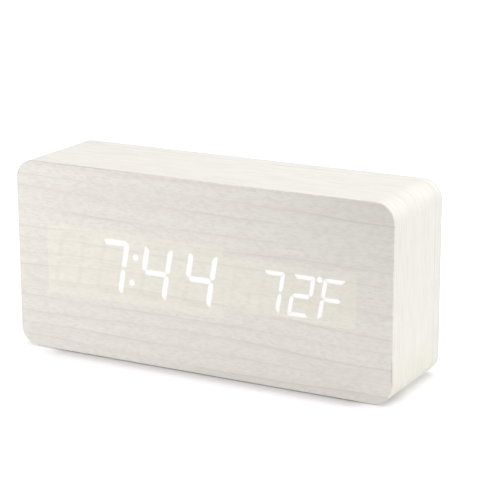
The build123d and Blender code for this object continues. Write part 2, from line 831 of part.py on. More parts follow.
half_turn_step_count = 24
coil_step_count = half_turn_step_count * spring_half_turns
coil_samples = [coil.line @ (i / coil_step_count) for i in range(coil_step_count + 1)]
coil_gap = min((coil_samples[i] - coil_samples[j]).length - spring_wire
               for i in range(coil_step_count + 1)
               for j in range(i + half_turn_step_count, coil_step_count + 1))
print(f"least gap between the turns of a cell spring: {coil_gap:.2f} mm")

# Contacts: a plate at every cell end, linked in pairs, and two terminals with tabs
with BuildPart() as cell_contacts:
    for x, side, single, pair in ((well_inner_end, 1, 0, (1, 2)), (well_outer_end, -1, 2, (0, 1))):
        face = Plane(origin=(x, cell_y, 0), x_dir=(0, side, 0), z_dir=(side, 0, 0))
        link_height = cell_heights[pair[0]] - cell_heights[pair[1]] + contact_height
        with BuildSketch(face):
            with Locations((0, cell_heights[single])):
                RectangleRounded(contact_width, contact_height, contact_thickness)
            with Locations((0, (cell_heights[pair[0]] + cell_heights[pair[1]]) / 2)):
                RectangleRounded(contact_width, link_height, contact_thickness)
        extrude(amount=contact_thickness)
        with BuildSketch(at_depth(tab_y + contact_thickness / 2)):
            with Locations((x + side * contact_thickness, cell_heights[single])):
                Rectangle(contact_thickness + well_wall + terminal_tab_reach, terminal_tab_width,
                          align=(Align.MAX if side > 0 else Align.MIN, Align.CENTER))
        extrude(amount=contact_thickness)
pieces["cell_contacts"] = cell_contacts

# Buttons, each on the plunger of its own push switch
for name, x in button_places.items():
    with BuildPart() as button:
        with BuildSketch(at_depth(cover_outer_y + button_proud)):
            with Locations((x, button_z)):
                Circle(button_diameter / 2)
        extrude(amount=cover_outer_y + button_proud - flange_front_y)
        fillet(button.faces().sort_by(Axis.Y)[-1].edges(), button_top_round)
        with BuildSketch(at_depth(flange_rear_y)):
            with Locations((x, button_z)):
                Circle(button_flange_diameter / 2)
        extrude(amount=button_flange_thickness)
        with BuildSketch(at_depth(flange_front_y)):
            with Locations((x, button_z)):
                Circle(button_stem_diameter / 2)
        extrude(amount=button_stem_length)
    pieces[f"{name}_button"] = button

    with BuildPart() as plunger:
        with BuildSketch(at_depth(plunger_top_y)):
            with Locations((x, button_z)):
                Circle(plunger_diameter / 2)
        extrude(amount=plunger_height + plunger_root)
    pieces[f"{name}_plunger"] = plunger

with BuildPart() as switch_bases:
    with BuildSketch(at_depth(switch_top_y)):
        with Locations(*[(x, button_z) for x in button_places.values()]):
            Rectangle(switch_size, switch_size)
    extrude(amount=switch_height)
    chamfer(switch_bases.edges().filter_by(Axis.Y), switch_corner_chamfer)
    with BuildSketch(at_depth(switch_top_y)):
        with Locations(*[(x, button_z) for x in button_places.values()]):
            Circle(plunger_diameter / 2 + plunger_gap)
    extrude(amount=plunger_root + button_travel + plunger_floor_gap, mode=Mode.SUBTRACT)
pieces["switch_bases"] = switch_bases

# Control board on the cover's bosses
lead_pads = [(board_right - lead_pad_inset, mid_z + lead_pad_spacing / 2),
             (board_right - lead_pad_inset, mid_z - lead_pad_spacing / 2)]
with BuildPart() as control_board:
    with BuildSketch(at_depth(board_rear_y)):
        with Locations((board_x, mid_z)):
            Rectangle(board_width, board_height)
        with Locations(*boss_points):
            Circle(board_screw_diameter / 2 + screw_gap, mode=Mode.SUBTRACT)
    extrude(amount=board_thickness)
pieces["control_board"] = control_board

with BuildPart() as board_screws:
    head_y = board_front_y - board_screw_head_height
    with BuildSketch(at_depth(board_front_y)):
        with Locations(*boss_points):
            Circle(board_screw_head_diameter / 2)
    extrude(amount=board_screw_head_height)
    with BuildSketch(at_depth(board_rear_y + board_screw_grip)):
        with Locations(*boss_points):
            Circle(board_screw_diameter / 2)
    extrude(amount=board_thickness + board_screw_grip)
    cross_cuts(head_y + cross_depth, boss_points, board_screw_head_diameter)
pieces["board_screws"] = board_screws

# Power inlet: a round socket with a centre pin
with BuildPart() as dc_jack:
    jack_back_y = cover_inner_y - jack_body_gap
    nose_y = cover_outer_y - jack_nose_setback
    with BuildSketch(at_depth(jack_back_y)):
        with Locations(jack_point):
            Rectangle(jack_body_width, jack_body_width)
    extrude(amount=jack_back_y - board_rear_y)
    with BuildSketch(at_depth(nose_y)):
        with Locations(jack_point):
            Circle(jack_nose_diameter / 2)
    extrude(amount=nose_y - jack_back_y)
    with BuildSketch(at_depth(nose_y)):
        with Locations(jack_point):
            Circle(jack_bore_diameter / 2)
    extrude(amount=jack_bore_depth, mode=Mode.SUBTRACT)
pieces["dc_jack"] = dc_jack

with BuildPart() as dc_jack_pin:
    with BuildSketch(at_depth(nose_y - jack_pin_setback)):
        with Locations(jack_point):
            Circle(jack_pin_diameter / 2)
    extrude(amount=jack_bore_depth - jack_pin_setback)
    fillet(dc_jack_pin.faces().sort_by(Axis.Y)[-1].edges(), jack_pin_diameter / 4)
pieces["dc_jack_pin"] = dc_jack_pin

with BuildPart() as buzzer:
    buzzer_top_y = cover_inner_y - buzzer_headroom
    with BuildSketch(at_depth(buzzer_top_y)):
        with Locations(buzzer_point):
            Circle(buzzer_diameter / 2)
    extrude(amount=buzzer_top_y - board_rear_y)
    with BuildSketch(at_depth(buzzer_top_y)):
        with Locations(buzzer_point):
            Circle(buzzer_port_diameter / 2)
    extrude(amount=buzzer_port_depth, mode=Mode.SUBTRACT)
pieces["buzzer"] = buzzer

with BuildPart() as thermistor:
    bead_y = board_rear_y + thermistor_rise
    with BuildSketch(at_depth(bead_y + thermistor_bead_length)):
        with Locations(thermistor_point):
            Circle(thermistor_bead_diameter / 2)
    extrude(amount=thermistor_bead_length)
    fillet(thermistor.edges().filter_by(GeomType.CIRCLE), thermistor_bead_round)
    with BuildSketch(at_depth(bead_y + thermistor_bead_round)):
        with Locations(thermistor_point):
            with GridLocations(thermistor_lead_spacing, thermistor_lead_spacing, 2, 1):
                Circle(thermistor_lead_diameter / 2)
    extrude(amount=thermistor_rise + thermistor_bead_round)
pieces["thermistor"] = thermistor

# Chips on the front of the control board, with legs bent down to it
with BuildPart() as control_chips:
    chip_rows = ((main_chip_leg_count, chip_offset), (driver_chip_leg_count, -chip_offset))
    for legs, rise in chip_rows:
        z = mid_z + rise
        length = (legs - 1) * chip_leg_pitch + 2 * chip_end_margin
        with BuildSketch(at_depth(board_front_y - chip_standoff)):
            with Locations((board_x, z)):
                Rectangle(length, chip_width)
        extrude(amount=chip_height)
        knee_y = board_front_y - chip_standoff - chip_height / 2
        leg_row = chip_width / 2 + chip_leg_reach
        middle = (legs - 1) / 2
        leg_x = [board_x + chip_leg_pitch * (k - middle) for k in range(legs)]
        with BuildSketch(at_depth(knee_y + chip_leg_thickness / 2)):
            with Locations(*[(x, z) for x in leg_x]):
                Rectangle(chip_leg_width, 2 * leg_row)
        extrude(amount=chip_leg_thickness)
        with BuildSketch(at_depth(board_front_y)):
            for side in (-1, 1):
                with Locations(*[(x, z + side * (leg_row - chip_leg_thickness / 2)) for x in leg_x]):
                    Rectangle(chip_leg_width, chip_leg_thickness)
        extrude(amount=board_front_y - knee_y)
pieces["control_chips"] = control_chips

with BuildPart() as timing_crystal:
    crystal_plane = Plane(
        origin=(board_x + crystal_offset, board_front_y - crystal_diameter / 2, mid_z + crystal_rise),
        x_dir=(0, 1, 0), z_dir=(1, 0, 0))
    with BuildSketch(crystal_plane):
        Circle(crystal_diameter / 2)
    extrude(amount=crystal_length)
    fillet(timing_crystal.edges().filter_by(GeomType.CIRCLE), crystal_end_round)
pieces["timing_crystal"] = timing_crystal

with BuildPart() as capacitor:
    with BuildSketch(at_depth(board_front_y)):
        with Locations((board_left + board_width * capacitor_place_share, mid_z)):
            Circle(capacitor_diameter / 2)
    extrude(amount=capacitor_height)
    fillet(capacitor.faces().sort_by(Axis.Y)[0].edges(), capacitor_top_round)
pieces["capacitor"] = capacitor

# Ribbon cable between the two boards, with a socket on each
socket_height = (board_front_y - display_board_back_y) * socket_height_share
control_socket_y = board_front_y - socket_height
display_socket_y = display_board_back_y + socket_height
ribbon_start_y = control_socket_y + socket_slot_depth
ribbon_end_y = display_socket_y - socket_slot_depth
with BuildPart() as control_socket:
    with BuildSketch(at_depth(board_front_y)):
        with Locations((board_x, mid_z)):
            Rectangle(socket_width, socket_length)
    extrude(amount=socket_height)
    with BuildSketch(at_depth(ribbon_start_y)):
        with Locations((board_x, mid_z)):
            Rectangle(ribbon_thickness + 2 * socket_slot_gap, ribbon_width + 2 * socket_slot_gap)
    extrude(amount=socket_slot_depth, mode=Mode.SUBTRACT)
pieces["control_socket"] = control_socket

with BuildPart() as display_socket:
    with BuildSketch(at_depth(display_socket_y)):
        with Locations((socket_x, mid_z)):
            Rectangle(socket_width, socket_length)
    extrude(amount=socket_height)
    with BuildSketch(at_depth(display_socket_y)):
        with Locations((socket_x, mid_z)):
            Rectangle(ribbon_thickness + 2 * socket_slot_gap, ribbon_width + 2 * socket_slot_gap)
    extrude(amount=socket_slot_depth, mode=Mode.SUBTRACT)
pieces["display_socket"] = display_socket

with BuildPart() as ribbon_cable:
    turn_y = (control_socket_y + display_socket_y) / 2
    bend = (control_socket_y - turn_y) * ribbon_bend_share
    with BuildLine(Plane.XY.offset(mid_z)):
        FilletPolyline((board_x, ribbon_start_y), (board_x, turn_y),
                       (socket_x, turn_y), (socket_x, ribbon_end_y), radius=bend)
    with BuildSketch(at_depth(ribbon_start_y)):
        with Locations((board_x, mid_z)):
            Rectangle(ribbon_thickness, ribbon_width)
    sweep()
pieces["ribbon_cable"] = ribbon_cable

# Battery leads from the terminal tabs, round the well, to the control board
lead_y = tab_y + contact_thickness / 2 + lead_diameter / 2
lead_lane_x = well_inner_end - well_wall - lead_clearance - lead_diameter / 2
lead_lane_z = mid_z - well_height / 2 - well_wall - lead_clearance - lead_diameter / 2
outer_lane_x = well_outer_end + well_wall + lead_clearance + lead_diameter / 2
red_route = [(lead_lane_x, lead_y, cell_heights[0]), (lead_lane_x, lead_y, lead_pads[0][1]),
             (lead_pads[0][0], lead_y, lead_pads[0][1]),
             (lead_pads[0][0], board_rear_y, lead_pads[0][1])]
black_route = [(outer_lane_x, lead_y, cell_heights[-1]), (outer_lane_x, lead_y, lead_lane_z),
               (lead_lane_x, lead_y, lead_lane_z), (lead_lane_x, lead_y, lead_pads[1][1]),
               (lead_pads[1][0], lead_y, lead_pads[1][1]),
               (lead_pads[1][0], board_rear_y, lead_pads[1][1])]
for name, route in (("red_lead", red_route), ("black_lead", black_route)):
    points = [Vector(*point) for point in route]
    runs = [(end - start).length for start, end in zip(points, points[1:])]
    bends = [min(lead_bend_share * min(pair), lead_bend_limit) for pair in zip(runs, runs[1:])]
    print(name, "bend radii:", [round(radius, 1) for radius in bends])
    with BuildPart() as lead:
        with BuildLine() as path:
            FilletPolyline(*points, radius=bends)
        with BuildSketch(Plane(origin=path.line @ 0, z_dir=path.line % 0)):
            Circle(lead_diameter / 2)
        sweep()
    pieces[name] = lead

os.makedirs("parts", exist_ok=True)
for name, piece in pieces.items():
    piece.part.label = name
    export_step(piece.part, f"parts/{name}.step")
print(f"{len(pieces)} pieces, {clock_width:g} x {clock_depth:g} x {clock_height:g} mm")
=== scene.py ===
import math
import bpy
import bmesh
from mathutils import Matrix, Vector


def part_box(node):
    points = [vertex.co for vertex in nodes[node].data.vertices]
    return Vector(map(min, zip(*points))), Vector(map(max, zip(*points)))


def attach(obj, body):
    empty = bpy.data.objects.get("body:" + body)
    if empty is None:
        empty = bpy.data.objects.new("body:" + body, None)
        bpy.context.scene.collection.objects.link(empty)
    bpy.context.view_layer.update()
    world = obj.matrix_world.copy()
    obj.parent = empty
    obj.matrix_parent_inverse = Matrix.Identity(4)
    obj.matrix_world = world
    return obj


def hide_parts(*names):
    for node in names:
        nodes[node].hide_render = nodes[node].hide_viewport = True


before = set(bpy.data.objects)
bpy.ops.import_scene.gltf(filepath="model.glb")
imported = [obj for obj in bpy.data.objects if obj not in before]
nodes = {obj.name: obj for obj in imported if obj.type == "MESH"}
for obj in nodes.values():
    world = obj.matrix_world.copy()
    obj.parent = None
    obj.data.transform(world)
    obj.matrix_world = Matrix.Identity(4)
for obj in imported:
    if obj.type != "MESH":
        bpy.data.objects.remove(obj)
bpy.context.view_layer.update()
mm = 0.001
midLevels = (0.35, 0.70)  # most of a noise lies between these
print("frame loaded:", len(nodes), "nodes")


def addNode(tree, kind, inputs=None, **settings):
    node = tree.nodes.new(kind)
    for key, value in settings.items():
        setattr(node, key, value)
    for key, value in (inputs or {}).items():
        if isinstance(value, bpy.types.NodeSocket):
            tree.links.new(value, node.inputs[key])
        else:
            node.inputs[key].default_value = value
    return node


def startMaterial(name, **sockets):
    material = bpy.data.materials.new(name)
    material.use_nodes = True
    shader = material.node_tree.nodes["Principled BSDF"]
    for key, value in sockets.items():
        shader.inputs[key.replace("_", " ")].default_value = value
    return material, material.node_tree, shader


def restPlace(tree):  # the point in the clock's own frame, in metres
    return addNode(tree, "ShaderNodeTexCoord").outputs["Object"]


def apart(tree, place):  # its x, y and z
    return addNode(tree, "ShaderNodeSeparateXYZ", {0: place}).outputs


def vectors(tree, operation, first, second, output="Vector"):
    return addNode(tree, "ShaderNodeVectorMath", {0: first, 1: second}, operation=operation).outputs[output]


def noise(tree, place, stretch, detail=2.0, rough=0.5):  # stretch: how many lumps to a metre, along x, y and z
    texture = addNode(tree, "ShaderNodeTexNoise", {
        "Vector": vectors(tree, "MULTIPLY", place, stretch), "Scale": 1.0, "Detail": detail,
        "Roughness": rough, "Distortion": 0.0})
    return texture.outputs["Fac"]


def fromTo(tree, value, low, high, toLow=0.0, toHigh=1.0):  # smooth step between two levels
    return addNode(tree, "ShaderNodeMapRange", {
        "Value": value, "From Min": low, "From Max": high, "To Min": toLow, "To Max": toHigh},
        interpolation_type="SMOOTHSTEP").outputs[0]


def sums(tree, operation, first, second=0.0):
    return addNode(tree, "ShaderNodeMath", {0: first, 1: second}, operation=operation).outputs[0]


def mixed(tree, share, first, second, blend="MIX"):
    node = addNode(tree, "ShaderNodeMix", {0: share, 6: first, 7: second}, data_type="RGBA", blend_type=blend)
    return node.outputs[2]


def raised(tree, shader, height, depth):
    bump = addNode(tree, "ShaderNodeBump", {"Height": height, "Distance": depth, "Strength": 1.0})
    tree.links.new(bump.outputs[0], shader.inputs["Normal"])


def opaque(rgb):
    return (*rgb, 1.0)


def darker(rgb, share):
    return tuple(share * part for part in rgb)


def seenRays(tree):  # 1 for the camera, and for what shows in gloss and glass
    rays = addNode(tree, "ShaderNodeLightPath").outputs
    mirrored = sums(tree, "MAXIMUM", rays["Is Glossy Ray"], rays["Is Transmission Ray"])
    return sums(tree, "MAXIMUM", rays["Is Camera Ray"], mirrored)


def dress(names, material):
    for name in names:
        mesh = nodes[name].data
        mesh.materials.clear()
        mesh.materials.append(material)


def intoScene(name, data):
    holder = bpy.data.objects.new(name, data)
    bpy.context.scene.collection.objects.link(holder)
    return holder


# White-washed wood film. Grain runs along the clock on the sheets, and round the edge on the wrap.
filmLook = {
    "paint": (0.925, 0.898, 0.843),
    "band": (0.890, 0.860, 0.800),
    "streak": (0.640, 0.605, 0.548),
    "fibre": (0.780, 0.748, 0.690),
    # dark colour for joint lines and painted shade
    "seamAndShade": (0.210, 0.195, 0.170),
    "brokenLevels": (0.30, 0.64),
    "brokenInk": (0.12, 1.0),
    "roughness": (0.46, 0.60),
    "shine": 0.35,
    "grainDepth": 0.03 * mm,
    "fibreDepth": 0.5,
}
sheetGrain = {
    "across": 2, "spacing": 5.6 * mm, "edge": 9.0,
    "wave": (6, 6, 46), "waveSwing": 2.6,
    "ripple": (22, 22, 260), "rippleSwing": 0.40,
    "broken": (16, 16, 200), "streakShare": 0.58,
    "band": (9, 9, 260), "bandShare": 0.70,
    "fibre": (480, 480, 1550), "fibreLevels": (0.34, 0.74), "fibreShare": 0.54,
    "tint": (1.029, 1.021, 1.023),
}
edgeGrain = {
    "across": 1, "spacing": 1.5 * mm, "edge": 8.0,
    "wave": (4, 90, 4), "waveSwing": 2.4,
    "ripple": (18, 500, 18), "rippleSwing": 0.40,
    "broken": (12, 420, 12), "streakShare": 0.20,
    "band": (4, 160, 4), "bandShare": 0.40,
    "fibre": (80, 2000, 80), "fibreLevels": (0.42, 0.75), "fibreShare": 0.75,
    "tint": (1.010, 1.008, 1.012),
}

# Film over a light module, and over the strokes that are off
moduleLook = {"lift": (1.056, 1.058, 1.017), "cream": (0.944, 0.919, 0.827), "fade": 0.35, "soft": 0.75 * mm}
unlitLooks = {
    "time_unlit_segments": {"film": "largeDarkSegmentFilm", "shade": 0.952},
    "temperature_unlit_segments": {"film": "smallDarkSegmentFilm", "shade": 0.968},
}

# Painted shade in the front film: dark lines in the joints along its top edge on the left, and along its lower right
# edge.
# The last one isn't a joint: painted shade that darkens the film towards the upper right.
frontSeamShades = [
    {"axes": (0, 2), "low": (-70.0 * mm, 69.72 * mm), "high": (-20.0 * mm, 71.0 * mm),
     "soft": (34.0 * mm, 0.10 * mm), "share": 0.30},
    {"axes": (0, 2), "low": (74.62 * mm, 6.5 * mm), "high": (76.0 * mm, 15.5 * mm),
     "soft": (0.12 * mm, 2.5 * mm), "share": 0.26},
    # painted shade, darker towards the upper right corner
    {"axes": (0, 2), "low": (38.0 * mm, 48.0 * mm), "high": (112.0 * mm, 92.0 * mm),
     "soft": (37.0 * mm, 22.0 * mm), "share": 0.125},
]
# A lap near the back of the wrap, and painted warm shade low down, towards the floor
wrapSeamsAndShade = [
    {"axes": (1,), "low": (14.2 * mm,), "high": (14.9 * mm,), "soft": (0.5 * mm,), "share": 0.13},
    # painted warm shade, darkening the lowest part of the wrap
    {"axes": (2,), "low": (-14.0 * mm,), "high": (14.0 * mm,), "soft": (6.0 * mm,), "share": 0.12,
     "ink": (0.66, 0.67, 0.40)},
]


def boxMask(tree, place, axes, low, high, soft):  # 1 between two limits along each of the axes, with soft sides
    along = apart(tree, place)
    mask = 1.0
    for axis, least, most, blur in zip(axes, low, high, soft):
        middle, half = (least + most) / 2, (most - least) / 2
        away = sums(tree, "ABSOLUTE", sums(tree, "SUBTRACT", along[axis], middle))
        mask = sums(tree, "MULTIPLY", fromTo(tree, away, half - blur, half + blur, 1.0, 0.0), mask)
    return mask


def filmColour(tree, place, grain, shade):
    phase = sums(tree, "DIVIDE", apart(tree, place)[grain["across"]], grain["spacing"])
    for field in ("wave", "ripple"):  # the lines wander, and crowd and spread
        sway = sums(tree, "MULTIPLY", noise(tree, place, grain[field], 1.0), grain[field + "Swing"])
        phase = sums(tree, "ADD", phase, sway)
    line = sums(tree, "POWER", sums(tree, "FRACT", phase), grain["edge"])
    gaps = noise(tree, place, grain["broken"], 1.0)
    broken = fromTo(tree, gaps, *filmLook["brokenLevels"], *filmLook["brokenInk"])
    marks = {
        "band": fromTo(tree, noise(tree, place, grain["band"]), *midLevels),
        "streak": sums(tree, "MULTIPLY", line, broken),
        "fibre": fromTo(tree, noise(tree, place, grain["fibre"]), *grain["fibreLevels"]),
    }
    colour = opaque(filmLook["paint"])
    for mark, mask in marks.items():
        colour = mixed(tree, sums(tree, "MULTIPLY", mask, grain[mark + "Share"]), colour, opaque(filmLook[mark]))
    colour = mixed(tree, 1.0, colour, opaque(darker(grain["tint"], shade)), "MULTIPLY")
    sunk = sums(tree, "MAXIMUM", marks["streak"], sums(tree, "MULTIPLY", marks["fibre"], filmLook["fibreDepth"]))
    return colour, sums(tree, "SUBTRACT", 1.0, sunk), marks["fibre"]


def filmMaterial(name, grain, shade=1.0, modules=(), seamsAndShades=()):
    material, tree, shader = startMaterial(name, Specular_IOR_Level=filmLook["shine"])
    place = restPlace(tree)
    colour, height, fibre = filmColour(tree, place, grain, shade)
    for node in modules:  # the pale cream module shows through the film
        low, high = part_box(node)
        mask = boxMask(tree, place, (0, 2), (low.x, low.z), (high.x, high.z), (moduleLook["soft"],) * 2)
        lifted = mixed(tree, 1.0, colour, opaque(moduleLook["lift"]), "MULTIPLY")
        colour = mixed(tree, mask, colour, mixed(tree, moduleLook["fade"], lifted, opaque(moduleLook["cream"])))
    # dark joint lines and painted shade, each a soft box mixed towards a dark colour
    for seamAndShade in seamsAndShades:
        mask = boxMask(tree, place, seamAndShade["axes"], seamAndShade["low"], seamAndShade["high"], seamAndShade["soft"])
        ink = seamAndShade.get("ink", filmLook["seamAndShade"])
        colour = mixed(tree, sums(tree, "MULTIPLY", mask, seamAndShade["share"]), colour, opaque(ink))
    tree.links.new(colour, shader.inputs["Base Color"])
    tree.links.new(fromTo(tree, fibre, 0.0, 1.0, *filmLook["roughness"]), shader.inputs["Roughness"])
    raised(tree, shader, height, filmLook["grainDepth"])
    return material


lightModules = ("time_display_case", "temperature_display_case")
dress(["front_sheet"], filmMaterial("frontFilm", sheetGrain, 1.0, lightModules, frontSeamShades))
for name, look in unlitLooks.items():
    dress([name], filmMaterial(look["film"], sheetGrain, look["shade"], lightModules))
dress(["rear_sheet"], filmMaterial("rearFilm", sheetGrain))
dress(["edge_wrap"], filmMaterial("edgeFilm", edgeGrain, seamsAndShades=wrapSeamsAndShade))
print("film on the block")


# Lit segments: the film's grain still shows faintly in the light
lightLook = {"glow": (0.975, 0.975, 0.985), "dim": 0.93, "strength": 0.76, "fibreLevels": (0.40, 0.75),
             "body": (0.30, 0.30, 0.31), "roughness": 0.5}


def litMaterial():
    material, tree, shader = startMaterial(
        "litSegment", Base_Color=opaque(lightLook["body"]), Roughness=lightLook["roughness"],
        Emission_Strength=lightLook["strength"])
    fibre = fromTo(tree, noise(tree, restPlace(tree), sheetGrain["fibre"]), *lightLook["fibreLevels"])
    dim = darker(lightLook["glow"], lightLook["dim"])
    tree.links.new(mixed(tree, fibre, opaque(lightLook["glow"]), opaque(dim)), shader.inputs["Emission Color"])
    return material


dress(["time_lit_segments", "temperature_lit_segments"], litMaterial())
print("segments lit")


# Moulded plastics: a spark-eroded skin in fine pits, and a slow drift in its sheen
plasticSkin = {"drift": (70, 70, 70), "driftDetail": 3.0, "pitDetail": 1.0, "shine": 0.45}
plasticLooks = {
    "coverPlastic": {
        "paint": (0.021, 0.021, 0.023), "worn": (0.034, 0.034, 0.036), "roughness": (0.48, 0.64),
        "pit": 2600, "depth": 0.02 * mm, "nodes": ["rear_cover", "battery_door", "dc_jack"]},
    "buttonPlastic": {
        "paint": (0.045, 0.045, 0.048), "worn": (0.065, 0.065, 0.068), "roughness": (0.34, 0.46),
        "pit": 3600, "depth": 0.008 * mm,
        "nodes": ["set_button", "up_button", "down_button", "set_plunger", "up_plunger", "down_plunger"]},
    "creamPlastic": {
        "paint": (0.80, 0.77, 0.68), "worn": (0.72, 0.69, 0.60), "roughness": (0.40, 0.52),
        "pit": 2200, "depth": 0.01 * mm,
        "nodes": ["time_display_case", "temperature_display_case", "control_socket", "display_socket"]},
    "chipPlastic": {
        "paint": (0.018, 0.018, 0.019), "worn": (0.030, 0.030, 0.031), "roughness": (0.50, 0.66),
        "pit": 4200, "depth": 0.01 * mm, "nodes": ["control_chips", "switch_bases", "buzzer"]},
    "ribbonVinyl": {
        "paint": (0.42, 0.42, 0.43), "worn": (0.36, 0.36, 0.37), "roughness": (0.42, 0.55),
        "pit": 1500, "depth": 0.01 * mm, "nodes": ["ribbon_cable"]},
    "redVinyl": {
        "paint": (0.52, 0.025, 0.018), "worn": (0.40, 0.02, 0.015), "roughness": (0.32, 0.45),
        "pit": 1800, "depth": 0.006 * mm, "nodes": ["red_lead"]},
    "blackVinyl": {
        "paint": (0.020, 0.020, 0.021), "worn": (0.032, 0.032, 0.033), "roughness": (0.32, 0.45),
        "pit": 1800, "depth": 0.006 * mm, "nodes": ["black_lead"]},
    "dieResin": {
        "paint": (0.78, 0.67, 0.30), "worn": (0.66, 0.55, 0.22), "roughness": (0.20, 0.32),
        "pit": 2500, "depth": 0.004 * mm, "nodes": ["led_dies", "thermistor"]},
}


def plasticMaterial(name, look):
    material, tree, shader = startMaterial(name, Specular_IOR_Level=plasticSkin["shine"])
    place = restPlace(tree)
    drift = fromTo(tree, noise(tree, place, plasticSkin["drift"], plasticSkin["driftDetail"]), *midLevels)
    pits = noise(tree, place, (look["pit"],) * 3, plasticSkin["pitDetail"])
    tree.links.new(mixed(tree, drift, opaque(look["paint"]), opaque(look["worn"])), shader.inputs["Base Color"])
    tree.links.new(fromTo(tree, drift, 0.0, 1.0, *look["roughness"]), shader.inputs["Roughness"])
    raised(tree, shader, pits, look["depth"])
    return material


for name, look in plasticLooks.items():
    dress(look["nodes"], plasticMaterial(name, look))
print("plastics:", len(plasticLooks))


# Metals: drawn or rolled lines along one axis, some of them brighter
lineDepth = 0.004 * mm
metalLooks = {
    "screwSteel": {
        "paint": (0.10, 0.10, 0.105), "bright": (0.22, 0.22, 0.23), "roughness": (0.30, 0.46),
        "lines": (900, 3200, 900), "nodes": ["cover_screws", "board_screws", "display_screws"]},
    "nickelPlate": {
        "paint": (0.62, 0.61, 0.58), "bright": (0.74, 0.73, 0.70), "roughness": (0.18, 0.34),
        "lines": (2400, 500, 500), "nodes": ["cell_contacts", "display_pins", "dc_jack_pin", "timing_crystal"]},
    "canMetal": {
        "paint": (0.58, 0.58, 0.60), "bright": (0.70, 0.70, 0.72), "roughness": (0.28, 0.42),
        "lines": (400, 2600, 400), "nodes": ["capacitor"]},
}


def metalMaterial(name, look):
    material, tree, shader = startMaterial(name, Metallic=1.0)
    lines = fromTo(tree, noise(tree, restPlace(tree), look["lines"]), *midLevels)
    tree.links.new(mixed(tree, lines, opaque(look["paint"]), opaque(look["bright"])), shader.inputs["Base Color"])
    tree.links.new(fromTo(tree, lines, 0.0, 1.0, *look["roughness"]), shader.inputs["Roughness"])
    raised(tree, shader, lines, lineDepth)
    return material


metals = {name: metalMaterial(name, look) for name, look in metalLooks.items()}
for name, look in metalLooks.items():
    dress(look["nodes"], metals[name])
print("metals:", len(metals))


# Fibreboard core: pressed fibres, a little darker in clumps
boardLook = {"pale": (0.50, 0.37, 0.235), "dark": (0.33, 0.225, 0.13), "roughness": 0.85, "depth": 0.08 * mm,
             "clumps": (600, 900, 600), "detail": 6.0, "rough": 0.65, "levels": (0.35, 0.68)}


def fibreboardMaterial():
    material, tree, shader = startMaterial("fibreboard", Roughness=boardLook["roughness"])
    clumps = noise(tree, restPlace(tree), boardLook["clumps"], boardLook["detail"], boardLook["rough"])
    dark = fromTo(tree, clumps, *boardLook["levels"])
    colour = mixed(tree, dark, opaque(boardLook["pale"]), opaque(boardLook["dark"]))
    tree.links.new(colour, shader.inputs["Base Color"])
    raised(tree, shader, clumps, boardLook["depth"])
    return material


dress(["core_frame"], fibreboardMaterial())


# Circuit boards: solder mask, with copper runs showing through in a lighter green
circuitLook = {"mask": (0.018, 0.11, 0.045), "copper": (0.055, 0.21, 0.075), "roughness": 0.3, "depth": 0.03 * mm,
               "runWidth": 0.35 * mm, "runEdge": 1.2, "runPitch": 1.7 * mm, "sway": 1.2 * mm,
               "wander": (160, 160, 160), "patch": (110, 110, 110), "patchLevels": (0.49, 0.51)}


def circuitMaterial():
    material, tree, shader = startMaterial("circuitBoard", Roughness=circuitLook["roughness"])
    place = restPlace(tree)
    sway = sums(tree, "MULTIPLY", noise(tree, place, circuitLook["wander"], 0.0), circuitLook["sway"])
    along = apart(tree, place)
    width = circuitLook["runWidth"]
    runs = []
    for axis in (0, 2):
        phase = sums(tree, "PINGPONG", sums(tree, "ADD", along[axis], sway), circuitLook["runPitch"] / 2)
        runs.append(fromTo(tree, phase, width, width * circuitLook["runEdge"], 1.0, 0.0))
    # the runs go upright in some patches, and level in the others
    upright = fromTo(tree, noise(tree, place, circuitLook["patch"], 0.0), *circuitLook["patchLevels"])
    level = sums(tree, "SUBTRACT", 1.0, upright)
    copper = sums(tree, "ADD", sums(tree, "MULTIPLY", runs[0], upright), sums(tree, "MULTIPLY", runs[1], level))
    colour = mixed(tree, copper, opaque(circuitLook["mask"]), opaque(circuitLook["copper"]))
    tree.links.new(colour, shader.inputs["Base Color"])
    raised(tree, shader, copper, circuitLook["depth"])
    return material


dress(["display_board", "control_board", "time_display_base", "temperature_display_base"], circuitMaterial())


# Cells: a plain printed sleeve, a pale band at the nub end, bare steel at both ends
cellLook = {"sleeve": (0.035, 0.11, 0.20), "band": (0.62, 0.63, 0.64), "steel": (0.66, 0.65, 0.63),
            "length": 44.5 * mm, "bandEnds": (8.5 * mm, 8.6 * mm), "nubEnds": (1.4 * mm, 1.45 * mm),
            "flatEnds": (43.9 * mm, 43.95 * mm), "halfPitch": (5.38 * mm, 5.42 * mm),
            "scuffs": (90, 900, 900), "scuffDetail": 3.0, "scuffShade": (0.90, 1.05), "roughness": (0.34, 0.26),
            "coat": 0.3, "coatRoughness": 0.12}


